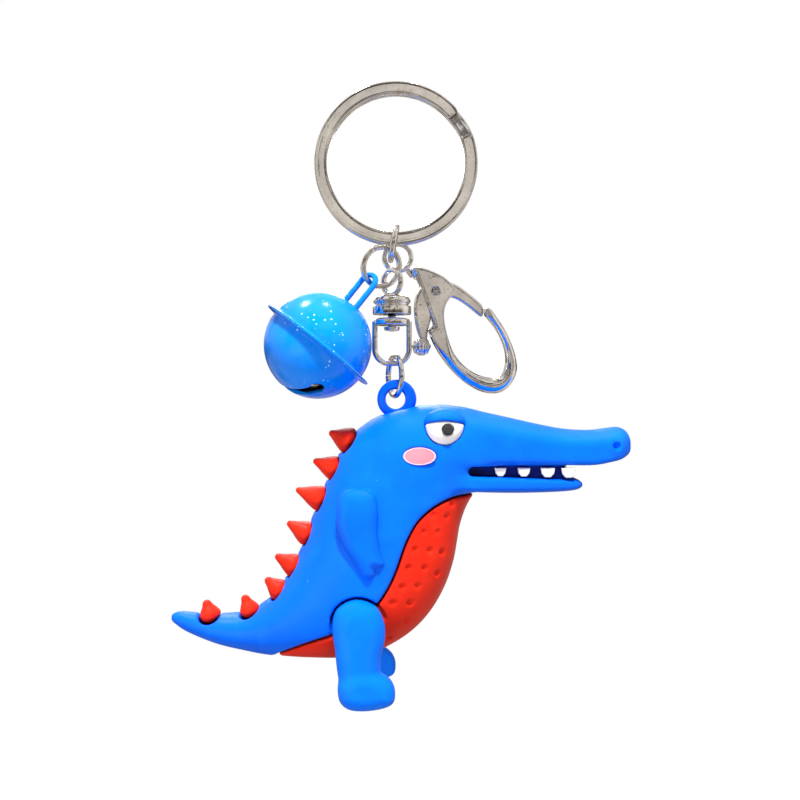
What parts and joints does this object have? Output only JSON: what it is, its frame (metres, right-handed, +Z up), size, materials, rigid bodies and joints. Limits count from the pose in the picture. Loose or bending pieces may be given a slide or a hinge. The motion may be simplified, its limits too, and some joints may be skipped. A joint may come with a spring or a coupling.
{
  "type": "crocodile figure keychain",
  "caption": "Keychain: a soft moulded standing crocodile with turning legs, hung on a swivel, with a split ring, a sprung lobster clasp and a round jingle bell.",
  "frame": {"origin": "inside top of the split ring, on its middle plane, where a hook or finger carries the keychain", "axes": "+X towards the crocodile's snout, +Y to the crocodile's left side, +Z up"},
  "size_m": [0.0842, 0.0286, 0.1125],
  "materials": {
    "nickel": "polished nickel plate, warm grey reflections",
    "bell_paint": "glossy sky-blue enamel on a pressed metal shell",
    "blue_pvc": "satin soft PVC, saturated blue",
    "red_pvc": "satin soft PVC, orange red",
    "white_pvc": "white, lightly glossy",
    "black_pvc": "dark grey, glossy",
    "pink_pvc": "pale pink with a lighter rim",
    "steel": "plain bright steel"
  },
  "bodies": {
    "key_ring": {"split_ring": "nickel"},
    "upper_jump_ring": {"top_link": "nickel"},
    "bell_jump_ring": {"bell_link": "nickel"},
    "bell": {"bell_upper_half": "bell_paint", "bell_lower_half": "bell_paint", "bell_eyelet": "bell_paint"},
    "pellet": {"bell_pellet": "steel"},
    "swivel_top": {"swivel_upper_loop": "nickel", "swivel_rivet": "nickel"},
    "swivel_bail": {"swivel_lower_bail": "nickel"},
    "lower_jump_ring": {"figure_link": "nickel"},
    "crocodile": {"crocodile_body": "blue_pvc", "belly": "red_pvc", "hanging_loop": "blue_pvc", "back_spike_1": "red_pvc", "back_spike_2": "red_pvc", "back_spike_3": "red_pvc", "back_spike_4": "red_pvc", "back_spike_5": "red_pvc", "back_spike_6": "red_pvc", "back_spike_7": "red_pvc", "back_spike_8": "red_pvc", "right_eye_white": "white_pvc", "right_pupil": "black_pvc", "right_cheek": "pink_pvc", "right_tooth_1": "white_pvc", "right_tooth_2": "white_pvc", "right_tooth_3": "white_pvc", "right_tooth_4": "white_pvc", "left_eye_white": "white_pvc", "left_pupil": "black_pvc", "left_cheek": "pink_pvc", "left_tooth_1": "white_pvc", "left_tooth_2": "white_pvc", "left_tooth_3": "white_pvc", "left_tooth_4": "white_pvc"},
    "right_leg_body": {"right_leg": "blue_pvc"},
    "left_leg_body": {"left_leg": "blue_pvc"},
    "clasp_loop": {"clasp_eye": "nickel"},
    "clasp_body": {"clasp_frame": "nickel", "clasp_gate_pin": "steel", "clasp_spring": "steel"},
    "gate": {"clasp_gate": "nickel"}
  },
  "joints": [
    {"name": "upper_jump_ring_swing", "type": "hinge", "parent": "key_ring", "child": "upper_jump_ring", "pos_m": [0, 0, -0.0264], "axis": [1, 0, 0], "range_deg": [-20, 20]},
    {"name": "bell_jump_ring_swing", "type": "hinge", "parent": "upper_jump_ring", "child": "bell_jump_ring", "pos_m": [-0.00099, 0, -0.03026], "axis": [0, 1, 0], "range_deg": [0, 8]},
    {"name": "bell_swing", "type": "hinge", "parent": "bell_jump_ring", "child": "bell", "pos_m": [-0.0049, -0.0017, -0.0343], "axis": [0, 1, 0], "range_deg": [0, 30]},
    {"name": "pellet_roll", "type": "hinge", "parent": "bell", "child": "pellet", "pos_m": [-0.0142, -0.0025, -0.046], "axis": [0, 1, 0], "range_deg": [-40, 40]},
    {"name": "swivel_swing", "type": "hinge", "parent": "bell_jump_ring", "child": "swivel_top", "pos_m": [-0.00075, 0, -0.033], "axis": [1, 0, 0], "range_deg": [-5, 15]},
    {"name": "swivel_turn", "type": "hinge", "parent": "swivel_top", "child": "swivel_bail", "pos_m": [-0.00075, 0, -0.041], "axis": [0, 0, 1], "continuous": true},
    {"name": "lower_jump_ring_swing", "type": "hinge", "parent": "swivel_bail", "child": "lower_jump_ring", "pos_m": [-0.00075, 0, -0.0493], "axis": [1, 0, 0], "range_deg": [-15, 15]},
    {"name": "crocodile_swing", "type": "hinge", "parent": "lower_jump_ring", "child": "crocodile", "pos_m": [-0.0001, 0, -0.0549], "axis": [0, 1, 0], "range_deg": [-4, 10]},
    {"name": "right_hip", "type": "hinge", "parent": "crocodile", "child": "right_leg_body", "pos_m": [-0.0066, -0.0099, -0.0955], "axis": [0, 1, 0], "range_deg": [-25, 25]},
    {"name": "left_hip", "type": "hinge", "parent": "crocodile", "child": "left_leg_body", "pos_m": [-0.0066, 0.0099, -0.0955], "axis": [0, 1, 0], "range_deg": [-25, 25]},
    {"name": "clasp_swing", "type": "hinge", "parent": "upper_jump_ring", "child": "clasp_loop", "pos_m": [-0.00095, 0.00185, -0.0297], "axis": [0, 1, 0], "range_deg": [-30, 0]},
    {"name": "clasp_swivel", "type": "hinge", "parent": "clasp_loop", "child": "clasp_body", "pos_m": [0.0024, 0.00256, -0.03218], "axis": [0.6154, 0.2079, -0.7603], "range_deg": [-15, 15]},
    {"name": "gate_hinge", "type": "hinge", "parent": "clasp_body", "child": "gate", "pos_m": [0.00717, 0.00373, -0.03545], "axis": [-0.1308, 0.9781, 0.1616], "range_deg": [0, 18], "stiffness_Nm_per_rad": 0.004, "springref_deg": -20.05}
  ]
}
